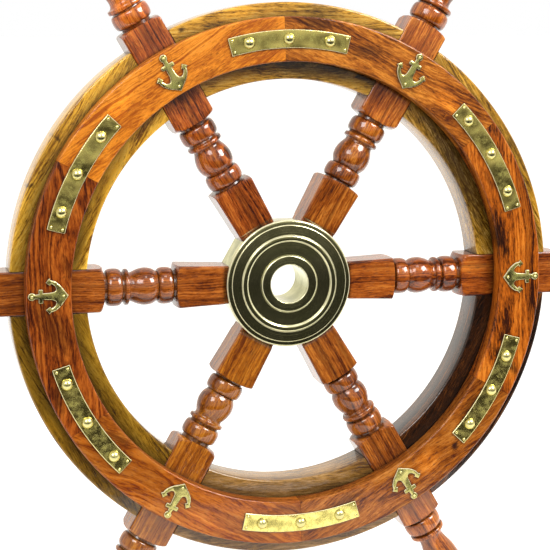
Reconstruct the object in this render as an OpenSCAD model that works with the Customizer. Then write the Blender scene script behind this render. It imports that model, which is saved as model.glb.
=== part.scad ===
// Ship steering wheel: six turned spokes, built-up wooden rim, brass hub and brass trim.
// The wheel stands upright: its axis runs along Y, its front faces -Y, and Z is up.
// Each piece is drawn in the wheel plane, with the axis along Z and the front up, and then stood up.

/* [Rim] */
// Outside diameter of the felloe ring
rim_outer_d = 440; // [430:1:450]
// Inside diameter of the felloe ring
rim_inner_d = 321; // [310:1:330]
// Depth of the felloes, front to back
rim_depth = 30; // [26:1:34]
// Outside diameter of the facing rings
facing_outer_d = 417; // [410:1:424]
// Inside diameter of the facing rings
facing_inner_d = 348; // [340:1:356]
// Thickness of each facing ring
facing_t = 15; // [10:1:18]

/* [Spokes] */
// Diameter across opposite handle tips
overall_d = 610; // [600:1:620]
// Width of the square block that passes between the felloes
rim_block_w = 34; // [30:1:36]
// Width of the hub block where it meets the turning
hub_block_w = 33; // [30:1:34]
// Width of the hub block where it meets the hub
hub_block_end_w = 30; // [26:1:32]
// Diameter of the slim core of the turning
core_d = 23; // [20:1:25]
// Diameter of the two beads inside the rim
bead_d = 29; // [27:0.5:31]
// Diameter of the belly between the beads
belly_d = 29.5; // [27:0.5:31]
// Largest diameter of the handle grip
grip_d = 29; // [26:0.5:31]
// Smallest diameter of the handle, at its cove
grip_neck_d = 20.5; // [19:0.5:22]

/* [Hub] */
// Diameter of the front plate
front_plate_d = 101; // [98:1:104]
// Diameter of the back plate
back_plate_d = 92; // [88:1:96]
// Diameter of the hub body between the plates
hub_body_d = 97; // [96:1:98]
// Depth of the hub body, and of the spoke ends in it
hub_body_depth = 26; // [24:1:28]
// Thickness of each hub plate at its rim
plate_t = 5; // [4:0.5:6]
// Diameter of the shaft bore
bore_d = 30; // [25:1:32]
// Diameter of the sleeve's front flange
flange_d = 45; // [42:1:48]

/* [Trim] */
// Width of the brass strips
strip_w = 14; // [12:0.5:16]
// Angle that each strip spans
strip_span = 28.5; // [26:0.5:30]
// Thickness of the strips and anchors
trim_t = 1.5; // [1:0.1:2]
// Middle radius of the ring of strips and anchors
trim_r = 191.5; // [190:0.5:193]
// Diameter of the domed nails' heads
nail_head_d = 9; // [8:0.5:10]
// Height of the domed nails' heads
nail_head_h = 3.2; // [2.6:0.1:3.6]
// Length of the domed nails under the head
nail_length = 26; // [22:1:30]

/* [Hidden] */
$fn = 96;
sixth = 60;
// Height of the cutters, more than any piece is thick
cut_h = 60;

// Rim
rim_outer_r = rim_outer_d / 2;
rim_inner_r = rim_inner_d / 2;
facing_outer_r = facing_outer_d / 2;
facing_inner_r = facing_inner_d / 2;
felloe_face = rim_depth / 2;
facing_face = felloe_face + facing_t;
// Angle of the butt joint after each spoke, which the fitted strip has to cover
facing_joints = [37, 92, 151, 212, 272, 332];

// Stations along a spoke, from the wheel axis
tenon_start = 27;
tenon_w = 20;
block_start = 40;
turning_start = 89.5;
rim_block_start = 146;
rim_block_end = 233;
handle_tip = overall_d / 2;
inner_bead = [91.5, 103];
belly_at = 113.5;
belly_round = 11;
fillet_at = 127.8;
fillet_d = 28.5;
fillet_w = 3.5;
outer_bead = [131.5, 143.5];
handle_bead = [235.5, 247];
handle_bead_d = 31;
handle_fillet_at = 250.2;
handle_fillet_d = 29.5;
grip_widest = 281;
grip_round = 60;
tip_round = 14;
// Length and slope of the cones that round off the blocks' corners
pommel_w = 3;
pommel_slope = 3;

// Hub
bore_r = bore_d / 2;
sleeve_r = 19;
flange_r = flange_d / 2;
body_face = hub_body_depth / 2;
socket_floor = 27;
hub_step_r = 46.3;
hub_step_h = 0.8;
hub_bead_r = 36.1;
hub_bead_w = 4.8;
hub_bead_h = 1.8;
flange_t = 1.6;
flange_seat = 0.4;
back_seat_t = 1;
back_face = body_face + plate_t + back_seat_t;
edge_break = 0.6;
hub_screw_r = 38;
hub_screw_d = 4.2;
hub_screw_head_d = 8.4;
slot_w = 1;
slot_depth = 1.3;
hub_screw_head_h = 2.1;
screw_face = -back_face + back_seat_t;
hub_screw_tip = body_face + 3;

// Trim
strip_middles = [31, 91, 151, 211, 272, 331];
// Angles of each strip's three nails, set by eye when the wheel was made
nail_angles = [
    [21.4, 31.5, 41.4], [81.4, 91.2, 100.7], [141.6, 151.5, 160.7],
    [200.9, 211.1, 221.4], [262.3, 271.8, 281.6], [321.3, 331.1, 340.1]
];
nail_shank_d = 3;
nail_tip = 5;
pin_shank_d = 1.4;
pin_head_d = 2.4;
pin_head_h = 0.8;
pin_length = 9;
pin_inset_angle = 0.75;
pin_inset = 2.6;
anchor_pin_at = [-11.2, 12.6];
anchor_ring_r = 2.9;

// Joinery
dowel_d = 8;
dowel_in_block = 12;
dowel_in_felloe = 18;
dowel_r = 190;
clear = 0.05;

// Wood colours by piece, from golden to dark red brown
felloe_brown = [0.50, 0.37, 0.14];
spoke_brown = [0.50, 0.22, 0.09];
facing_browns = [
    [0.60, 0.30, 0.12], [0.50, 0.24, 0.10], [0.80, 0.44, 0.16],
    [0.38, 0.15, 0.07], [0.60, 0.28, 0.12], [0.48, 0.22, 0.10]
];
brass = [0.80, 0.70, 0.38];

// ---------- helpers ----------

// Stands a piece drawn in the wheel plane upright
module stand() {
    rotate([90, 0, 0]) children();
}

// Puts the children at a place along spoke k's line
module on_spoke(k, r = 0, z = 0) {
    rotate([0, 0, sixth * (k - 1)]) translate([r, 0, z]) children();
}

// A ring between two radii, cut to the angles from a0 to a1
module ring_sector(r0, r1, a0, a1) {
    reach = r1 * 1.3;
    am = (a0 + a1) / 2;
    intersection() {
        difference() {
            circle(r1);
            circle(r0);
        }
        polygon([
            [0, 0],
            reach * [cos(a0), sin(a0)],
            reach * [cos(am), sin(am)],
            reach * [cos(a1), sin(a1)]
        ]);
    }
}

// A bar along X from x0 to x1, centred on the axis
module bar(x0, x1, w, d) {
    translate([x0, -w / 2, -d / 2]) cube([x1 - x0, w, d]);
}

// Half profile of a rounded bead of diameter d between two stations
module bead_profile(stations, d) {
    round_r = (stations[1] - stations[0]) / 2;
    mid = (stations[0] + stations[1]) / 2;
    translate([d / 2 - round_r, mid]) circle(round_r);
    translate([0, stations[0]]) square([d / 2 - round_r, 2 * round_r]);
}

// ---------- spokes ----------

// Half profile of the turning between hub block and rim block
module baluster_profile() {
    translate([0, turning_start - 4]) square([core_d / 2, rim_block_start - turning_start + 8]);
    bead_profile(inner_bead, bead_d);
    bead_profile(outer_bead, bead_d + 0.5);
    bead_profile([fillet_at - fillet_w / 2, fillet_at + fillet_w / 2], fillet_d);
    translate([belly_d / 2 - belly_round, belly_at]) circle(belly_round);
}

// Half profile of the handle outside the rim
module handle_profile() {
    translate([0, rim_block_end - 4]) square([core_d / 2, 10]);
    bead_profile(handle_bead, handle_bead_d);
    bead_profile(
        [handle_fillet_at - fillet_w / 2, handle_fillet_at + fillet_w / 2], handle_fillet_d
    );
    dome_at = handle_tip - tip_round;
    intersection() {
        union() {
            translate([grip_d / 2 - grip_round, grip_widest]) circle(grip_round);
            translate([0, rim_block_end]) square([grip_neck_d / 2, handle_tip - rim_block_end]);
        }
        union() {
            translate([0, rim_block_end]) square([grip_d, dome_at - rim_block_end]);
            translate([0, dome_at]) circle(tip_round);
        }
    }
}

// A turned part along X from its half profile, drawn with the radius along X and the stations along Y
module turned() {
    rotate([0, 90, 0]) rotate([0, 0, 90]) rotate_extrude() {
        intersection() {
            children();
            square([50, handle_tip + 10]);
        }
    }
}

// The cone that rounds off a block's four corners where the turning starts
module pommel(x0, x1, toward_hub) {
    start_r = core_d / 2 + 4;
    full_r = start_r + (x1 - x0) * pommel_slope;
    translate([x0, 0, 0]) rotate([0, 90, 0]) cylinder(
        h = x1 - x0, r1 = toward_hub ? start_r : full_r, r2 = toward_hub ? full_r : start_r
    );
}

// The square block that passes between the felloes, its ends rounded off in the lathe
module rim_block() {
    difference() {
        bar(rim_block_start, rim_block_end, rim_block_w, rim_depth);
        difference() {
            bar(rim_block_start - 1, rim_block_start + pommel_w, cut_h, cut_h);
            pommel(rim_block_start - 1, rim_block_start + pommel_w, true);
        }
        difference() {
            bar(rim_block_end - pommel_w, rim_block_end + 1, cut_h, cut_h);
            pommel(rim_block_end - pommel_w, rim_block_end + 1, false);
        }
    }
}

// The hub block, which tapers toward the hub in both directions
module hub_block() {
    w0 = hub_block_end_w / 2;
    w1 = hub_block_w / 2;
    d0 = hub_body_depth / 2;
    d1 = rim_depth / 2;
    difference() {
        intersection() {
            translate([0, 0, -cut_h / 2]) linear_extrude(cut_h) polygon([
                [block_start, -w0], [turning_start, -w1], [turning_start, w1], [block_start, w0]
            ]);
            translate([0, cut_h / 2, 0]) rotate([90, 0, 0]) linear_extrude(cut_h) polygon([
                [block_start, -d0], [hub_body_d / 2, -d0], [turning_start, -d1],
                [turning_start, d1], [hub_body_d / 2, d0], [block_start, d0]
            ]);
        }
        difference() {
            bar(turning_start - pommel_w, turning_start + 1, cut_h, cut_h);
            pommel(turning_start - pommel_w, turning_start + 1, false);
        }
        translate([0, 0, -cut_h / 2]) cylinder(h = cut_h, d = hub_body_d);
    }
}

// One spoke: tenon, hub block, turning, rim block and handle, in one piece of wood
module spoke(k) {
    color(spoke_brown) stand() on_spoke(k) difference() {
        union() {
            bar(tenon_start, hub_body_d / 2 + 2, tenon_w, hub_body_depth);
            hub_block();
            turned() baluster_profile();
            rim_block();
            turned() handle_profile();
        }
        translate([hub_screw_r, 0, -cut_h / 2]) cylinder(h = cut_h, d = hub_screw_d + 2 * clear);
        for (side = [-1, 1]) {
            translate([dowel_r, side * (rim_block_w / 2 - dowel_in_block), 0])
                rotate([-90 * side, 0, 0]) cylinder(h = 20, d = dowel_d + 2 * clear);
        }
    }
}

// ---------- rim ----------

// The dowels on both sides of spoke k, grown by a clearance
module spoke_dowels(k, grow = 0) {
    for (side = [-1, 1]) {
        on_spoke(k, dowel_r) translate([0, side * (rim_block_w / 2 - dowel_in_block), 0])
            rotate([-90 * side, 0, 0])
            cylinder(h = dowel_in_block + dowel_in_felloe, d = dowel_d + 2 * grow);
    }
}

// One felloe, from the block of spoke k to the block of the next spoke
module felloe(k) {
    next = k % 6 + 1;
    color(felloe_brown) stand() difference() {
        translate([0, 0, -felloe_face]) linear_extrude(rim_depth)
            ring_sector(rim_inner_r, rim_outer_r, sixth * (k - 1), sixth * k);
        on_spoke(k) bar(rim_inner_r - 20, rim_outer_r + 20, rim_block_w, rim_depth + 2);
        on_spoke(next) bar(rim_inner_r - 20, rim_outer_r + 20, rim_block_w, rim_depth + 2);
        spoke_dowels(k, clear);
        spoke_dowels(next, clear);
        nail_holes(k);
    }
}

// One facing segment, lying between its two butt joints
module facing_blank(k) {
    previous = (k + 4) % 6;
    a1 = facing_joints[k - 1];
    a0 = facing_joints[previous] - (k == 1 ? 360 : 0);
    linear_extrude(facing_t) ring_sector(facing_inner_r, facing_outer_r, a0, a1);
}

// One front segment, with room for the trim's nails and pins
module front_facing(k) {
    before = (k + 4) % 6 + 1;
    color(facing_browns[k - 1]) stand() difference() {
        translate([0, 0, felloe_face]) facing_blank(k);
        nail_holes(k);
        nail_holes(before);
        strip_pin_places(k) pin(clear);
        strip_pin_places(before) pin(clear);
        anchor_pin_places(k) pin(clear);
    }
}

// One back segment, plain
module back_facing(k) {
    color(facing_browns[k - 1]) stand() translate([0, 0, -facing_face]) facing_blank(k);
}

// The hidden dowels that join the felloes' ends to the spokes
module felloe_dowels() {
    color(felloe_brown) stand() for (k = [1:6]) spoke_dowels(k);
}

// ---------- hub ----------

// Half profile of the front plate: a flat rim, a low step and a raised bead round a flat floor
module front_plate_profile() {
    difference() {
        union() {
            square([front_plate_d / 2, plate_t]);
            square([hub_step_r, plate_t + hub_step_h]);
            translate([hub_bead_r, plate_t + hub_bead_h - hub_bead_w / 2]) circle(hub_bead_w / 2);
        }
        translate([0, plate_t]) square([hub_bead_r - hub_bead_w / 2 + 1, 10]);
        translate([0, plate_t - flange_seat]) square([flange_r + clear, 10]);
        translate([0, -1]) square([sleeve_r + clear, 20]);
        translate([front_plate_d / 2 - edge_break, plate_t]) rotate([0, 0, -45]) square(3);
    }
}

module hub_front_plate() {
    color(brass) stand() difference() {
        translate([0, 0, body_face]) rotate_extrude() front_plate_profile();
        hub_screw_holes();
    }
}

// Back plate: a plain disc with a raised seat round the sleeve and sinks for the screw heads
module hub_back_plate() {
    color(brass) stand() difference() {
        union() {
            translate([0, 0, screw_face]) cylinder(h = plate_t, d = back_plate_d);
            translate([0, 0, -back_face]) cylinder(h = plate_t, r = flange_r + 8);
        }
        translate([0, 0, -cut_h / 2]) cylinder(h = cut_h, r = sleeve_r + clear);
        hub_screw_holes();
        for (k = [1:6]) on_spoke(k, hub_screw_r, screw_face - 1) cylinder(
            h = 1 + hub_screw_head_h + clear, d1 = hub_screw_head_d + 2, d2 = hub_screw_d
        );
    }
}

// Hub body: a thick ring with six open sockets for the spoke tenons
module hub_body() {
    color(brass) stand() difference() {
        translate([0, 0, -body_face]) cylinder(h = hub_body_depth, d = hub_body_d);
        translate([0, 0, -cut_h / 2]) cylinder(h = cut_h, r = sleeve_r + clear);
        for (k = [1:6]) on_spoke(k) bar(socket_floor, hub_body_d, tenon_w, hub_body_depth + 2);
    }
}

// Sleeve: the flanged tube that carries the shaft bore
module hub_sleeve() {
    flange_z = body_face + plate_t - flange_seat;
    color(brass) stand() difference() {
        union() {
            translate([0, 0, -back_face]) cylinder(h = back_face + flange_z, r = sleeve_r);
            translate([0, 0, flange_z]) cylinder(h = flange_t, r = flange_r);
        }
        translate([0, 0, -cut_h / 2]) cylinder(h = cut_h, r = bore_r);
    }
}

// Room for the hub screws' shanks, from behind the back plate into the front plate
module hub_screw_holes() {
    for (k = [1:6]) on_spoke(k, hub_screw_r, screw_face - 1) cylinder(
        h = hub_screw_tip - screw_face + 1 + clear, d = hub_screw_d + 2 * clear
    );
}

// The hub screws, from the back plate through the tenons into the front plate
module hub_screws() {
    color(brass) stand() for (k = [1:6]) on_spoke(k, hub_screw_r, screw_face) difference() {
        union() {
            cylinder(h = hub_screw_tip - screw_face, d = hub_screw_d);
            cylinder(h = hub_screw_head_h, d1 = hub_screw_head_d, d2 = hub_screw_d);
        }
        translate([-hub_screw_head_d, -slot_w / 2, -1])
            cube([2 * hub_screw_head_d, slot_w, 1 + slot_depth]);
    }
}

// ---------- trim ----------

// Puts the children at strip k's three nails, on the strip's face
module strip_nail_places(k) {
    for (a = nail_angles[k - 1]) {
        rotate([0, 0, a]) translate([trim_r, 0, facing_face + trim_t]) children();
    }
}

// Puts the children at strip k's four pins
module strip_pin_places(k) {
    for (side = [-1, 1], edge = [-1, 1]) {
        a = strip_middles[k - 1] + side * (strip_span / 2 - pin_inset_angle);
        rotate([0, 0, a]) translate([trim_r + edge * (strip_w / 2 - pin_inset), 0, facing_face + trim_t])
            children();
    }
}

// Puts the children at anchor k's two pins
module anchor_pin_places(k) {
    for (y = anchor_pin_at) {
        on_spoke(k, trim_r + y, facing_face + trim_t) children();
    }
}

// Room for strip k's nail shanks in the brass and the wood
module nail_holes(k) {
    strip_nail_places(k) translate([0, 0, -nail_length]) cylinder(
        h = nail_length + 1, d = nail_shank_d + 2 * clear
    );
}

// One curved brass strip, drilled for its nails and pins
module brass_strip(k) {
    a = strip_middles[k - 1];
    color(brass) stand() difference() {
        translate([0, 0, facing_face]) linear_extrude(trim_t) ring_sector(
            trim_r - strip_w / 2, trim_r + strip_w / 2, a - strip_span / 2, a + strip_span / 2
        );
        nail_holes(k);
        strip_pin_places(k) pin(clear);
    }
}

// A dome of diameter d and height h on the plane z = 0
module dome(d, h) {
    ball_r = (d * d / 4 + h * h) / (2 * h);
    intersection() {
        translate([0, 0, h - ball_r]) sphere(ball_r);
        cylinder(h = h + 1, d = d);
    }
}

// A dome-head nail: head above z = 0, shank and point below
module nail() {
    dome(nail_head_d, nail_head_h);
    translate([0, 0, nail_tip - nail_length])
        cylinder(h = nail_length - nail_tip + 0.5, d = nail_shank_d);
    translate([0, 0, -nail_length]) cylinder(h = nail_tip, d1 = 0.5, d2 = nail_shank_d);
}

// A small round-head pin: with grow above 0, the hole that it leaves
module pin(grow = 0) {
    if (grow == 0) dome(pin_head_d, pin_head_h);
    translate([0, 0, -pin_length]) cylinder(
        h = pin_length + (grow == 0 ? 0.3 : 1), d = pin_shank_d + 2 * grow
    );
}

// All the domed nails
module strip_nails() {
    color(brass) stand() for (k = [1:6]) strip_nail_places(k) nail();
}

// All the strips' pins
module strip_pins() {
    color(brass) stand() for (k = [1:6]) strip_pin_places(k) pin();
}

// All the anchors' pins
module anchor_pins() {
    color(brass) stand() for (k = [1:6]) anchor_pin_places(k) pin();
}

// Right half of an anchor's outline: its ring, and then from the top of its shank to its crown
anchor_ring_end = -58;
anchor_ring_steps = 12;
anchor_half = concat(
    [
        for (i = [0:anchor_ring_steps])
            let (a = 90 + (anchor_ring_end - 90) * i / anchor_ring_steps)
                [anchor_ring_r * cos(a), anchor_pin_at[1] + anchor_ring_r * sin(a)]
    ],
    [
        [1.5, 7.2], [4.6, 7.2], [5.2, 6.6], [5.2, 4.8], [4.6, 4.2], [2, 4.2],
        [2.4, -3.6], [3.2, -5.4], [4.8, -6.3], [6.4, -6], [8, -4.4], [9.4, -2], [8, -1.2],
        [10.4, 2.2], [13.7, -0.8], [12.2, -1.8], [11.2, -4.6], [9.2, -7.6], [6.4, -10.2],
        [2.6, -13], [0, -15.2]
    ]
);
anchor_outline = concat(
    anchor_half, [for (i = [len(anchor_half) - 2:-1:1]) [-anchor_half[i][0], anchor_half[i][1]]]
);

// One flat brass anchor, its ring at the rim side
module anchor(k) {
    color(brass) stand() difference() {
        on_spoke(k, trim_r, facing_face) rotate([0, 0, -90]) linear_extrude(trim_t)
            polygon(anchor_outline);
        anchor_pin_places(k) pin(clear);
    }
}

// ---------- pieces ----------

hub_front_plate();
hub_body();
hub_back_plate();
hub_sleeve();
hub_screws();
for (k = [1:6]) {
    spoke(k);
    felloe(k);
    front_facing(k);
    back_facing(k);
    brass_strip(k);
    anchor(k);
}
strip_nails();
strip_pins();
anchor_pins();
felloe_dowels();
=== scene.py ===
"""Ship steering wheel: finely made pieces of varnished wood and polished brass."""
import math
import random

import bmesh
import bpy
from mathutils import Matrix, Vector, noise


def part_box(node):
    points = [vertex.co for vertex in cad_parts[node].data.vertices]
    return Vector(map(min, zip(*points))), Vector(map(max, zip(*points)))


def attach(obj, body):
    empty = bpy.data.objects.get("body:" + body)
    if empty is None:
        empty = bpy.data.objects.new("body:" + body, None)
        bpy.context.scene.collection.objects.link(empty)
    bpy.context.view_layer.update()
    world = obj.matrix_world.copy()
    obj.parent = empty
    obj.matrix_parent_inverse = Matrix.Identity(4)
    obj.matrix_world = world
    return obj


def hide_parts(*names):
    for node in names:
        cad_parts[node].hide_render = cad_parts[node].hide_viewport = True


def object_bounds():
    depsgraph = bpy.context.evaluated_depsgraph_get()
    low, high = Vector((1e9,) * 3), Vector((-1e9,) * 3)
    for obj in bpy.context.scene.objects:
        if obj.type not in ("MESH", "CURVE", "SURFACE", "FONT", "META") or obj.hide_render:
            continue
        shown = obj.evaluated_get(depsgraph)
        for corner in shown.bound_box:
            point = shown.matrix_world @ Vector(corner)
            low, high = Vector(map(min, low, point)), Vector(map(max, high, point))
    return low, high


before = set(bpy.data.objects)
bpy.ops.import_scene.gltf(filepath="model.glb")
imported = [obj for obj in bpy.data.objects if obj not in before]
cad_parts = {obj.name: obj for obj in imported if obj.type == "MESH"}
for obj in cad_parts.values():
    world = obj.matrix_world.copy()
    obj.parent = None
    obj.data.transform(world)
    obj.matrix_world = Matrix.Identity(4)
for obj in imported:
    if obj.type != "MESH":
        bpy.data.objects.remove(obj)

CAD_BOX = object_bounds()
BODY = "root"
MM = 0.001
SIXTHS = range(1, 7)

# The pieces are drawn in millimetres with X and Y in the wheel's plane and Z towards the front.
# STAND takes such a drawing to the part's frame, whose Y axis runs from the front to the back.
STAND = Matrix(((1, 0, 0, 0), (0, 0, -1, 0), (0, 1, 0, 0), (0, 0, 0, 1)))


def extent(node, corner, axis):
    """One coordinate of a CAD node's box, in millimetres, rounded to a tenth."""
    return round(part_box(node)[corner][axis] / MM, 1)


# Sizes of the CAD pieces: R is an outer radius and FACE half a depth
TIP_R = extent("spoke_1", 1, 0)
BLOCK_HALF = extent("spoke_1", 1, 2)
FELLOE_R = extent("felloe_2", 1, 2)
FELLOE_FACE = extent("felloe_2", 1, 1)
FACING_R = extent("front_facing_2", 1, 2)
FACING_FACE = -extent("front_facing_2", 0, 1)
STRIP_R = extent("brass_strip_2", 1, 2)
STRIP_FACE = -extent("brass_strip_2", 0, 1)
PLATE_R = extent("hub_front_plate", 1, 0)
BACK_PLATE_R = extent("hub_back_plate", 1, 0)
DRUM_R = extent("hub_body", 1, 2)
DRUM_FACE = extent("hub_body", 1, 1)
BACK_SEAT = extent("hub_back_plate", 1, 1)

# The other sizes of the rim and its trim, and angles in degrees from +X towards +Z
FELLOE_INNER_R = 160.5
FACING_INNER_R = 174
FACING_JOINTS = (37, 92, 151, 212, 272, 332)
STRIP_MIDDLES = (31, 91, 151, 211, 272, 331)
STRIP_SPAN = 28.5
STRIP_W = 14
TRIM_R = STRIP_R - STRIP_W / 2


def spoke_angle(k):
    """The angle of spoke k in degrees; spoke 1 points along +X."""
    return 60 * (k - 1)


def wheel_place(angle, radius, height):
    """A place in the wheel's plane in millimetres, with X pointing outwards."""
    return Matrix.Rotation(math.radians(angle), 4, "Z") @ Matrix.Translation((radius, 0, height))


# ---------- outlines ----------

def arc(centre, radius, start, end, steps):
    """Points on a circle from one angle to another, in degrees."""
    turns = [math.radians(start + (end - start) * i / steps) for i in range(steps + 1)]
    return [(centre[0] + radius * math.cos(t), centre[1] + radius * math.sin(t)) for t in turns]


def smooth_run(points, steps=8):
    """A smooth curve through the points, without its last point."""
    padded = [points[0], *points, points[-1]]
    run = []
    for a, b, c, d in zip(padded, padded[1:], padded[2:], padded[3:]):
        for i in range(steps):
            t = i / steps
            run.append(tuple(
                0.5 * (2 * b[n] + (c[n] - a[n]) * t
                       + (2 * a[n] - 5 * b[n] + 4 * c[n] - d[n]) * t ** 2
                       + (3 * b[n] - a[n] - 3 * c[n] + d[n]) * t ** 3)
                for n in (0, 1)
            ))
    return run


def rounded(corners, radius, steps=4):
    """A closed outline with an arc at each corner; a third number is that corner's own radius."""
    outline = []
    count = len(corners)
    for i, corner in enumerate(corners):
        before, here, after = (Vector(corners[j % count][:2]) for j in (i - 1, i, i + 1))
        r = corner[2] if len(corner) > 2 else radius
        back, on = (before - here).normalized(), (after - here).normalized()
        half = back.angle(on) / 2
        if not r or half > math.radians(89):
            outline.append(tuple(here))
            continue
        centre = here + (back + on).normalized() * (r / math.sin(half))
        first = (here + back * (r / math.tan(half)) - centre) / r
        last = (here + on * (r / math.tan(half)) - centre) / r
        sweep = math.pi - 2 * half
        for s in range(steps + 1):
            part = sweep * s / steps
            way = first * math.sin(sweep - part) + last * math.sin(part)
            outline.append(tuple(centre + way * (r / math.sin(sweep))))
    return outline


def inset(outline, amount):
    """The outline moved inwards, for an outline that runs counter-clockwise."""
    moved = []
    count = len(outline)
    for i in range(count):
        before, here, after = (Vector(outline[j % count]) for j in (i - 1, i, i + 1))
        a, b = (here - before).normalized(), (after - here).normalized()
        inward = (Vector((-a.y, a.x)) + Vector((-b.y, b.x))).normalized()
        stretch = min(1.4, 1 / max(0.3, inward.dot(Vector((-a.y, a.x)))))
        moved.append(tuple(here + inward * amount * stretch))
    return moved


# ---------- meshes ----------

def skin(bm, rings, looped=False):
    """Joins rings of equally many points with faces, and caps the ends unless it is looped."""
    rows = [[bm.verts.new(point) for point in ring] for ring in rings]
    pairs = list(zip(rows, rows[1:]))
    if looped:
        pairs.append((rows[-1], rows[0]))
    for low, high in pairs:
        for i in range(len(low)):
            j = (i + 1) % len(low)
            bm.faces.new((low[i], low[j], high[j], high[i]))
    if not looped:
        bm.faces.new(rows[0])
        bm.faces.new(rows[-1])


def lathe(bm, outline, steps):
    """A ring with a hole, turned about Z from a closed outline of radius and height."""
    rings = []
    for s in range(steps):
        turn = 2 * math.pi * s / steps
        c, k = math.cos(turn), math.sin(turn)
        rings.append([(r * c, r * k, z) for r, z in outline])
    skin(bm, rings, looped=True)


def knob(bm, profile, steps, place):
    """A solid turned about Z from a profile of radius and height that starts and ends near 0."""
    turns = [2 * math.pi * s / steps for s in range(steps)]
    skin(bm, [[place @ Vector((r * math.cos(t), r * math.sin(t), z)) for t in turns]
              for r, z in profile])


def slab(bm, outline, low, high, bevel, place=Matrix.Identity(4)):
    """A flat plate of an outline, with its front edge bevelled in two steps."""
    levels = [(0, low), (0, high - bevel), (bevel * 0.3, high - bevel * 0.3), (bevel, high)]
    rings = [[place @ Vector((x, y, z)) for x, y in inset(outline, amount)]
             for amount, z in levels]
    skin(bm, rings)


def new_object(name, data):
    """A new object in the scene."""
    made = bpy.data.objects.new(name, data)
    bpy.context.scene.collection.objects.link(made)
    return made


def make(name, bm, sharp_angle=32):
    """An object from a mesh drawn in the wheel's plane, in millimetres."""
    bm.normal_update()
    big = [face for face in bm.faces if len(face.verts) > 8]
    bmesh.ops.triangulate(bm, faces=big, ngon_method="EAR_CLIP")
    bmesh.ops.recalc_face_normals(bm, faces=bm.faces)
    mesh = bpy.data.meshes.new(name)
    bm.to_mesh(mesh)
    bm.free()
    mesh.transform(STAND @ Matrix.Scale(MM, 4))
    mesh.shade_smooth()
    mesh.set_sharp_from_angle(angle=math.radians(sharp_angle))
    piece = new_object(name, mesh)
    even = piece.modifiers.new("even_shading", "WEIGHTED_NORMAL")
    even.keep_sharp = True
    return piece


def stand_for(piece, slot, material, *nodes):
    """Gives a piece its material, hangs it on the body and hides the CAD nodes it takes the place
    of; slot is not used.
    """
    piece.data.materials.append(material)
    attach(piece, BODY)
    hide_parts(*nodes)


# ---------- materials ----------

def srgb(red, green, blue):
    """A colour given as 0 to 255 values, in linear light."""
    parts = [value / 255 for value in (red, green, blue)]
    return [p / 12.92 if p <= 0.04045 else ((p + 0.055) / 1.055) ** 2.4 for p in parts] + [1]


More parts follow.
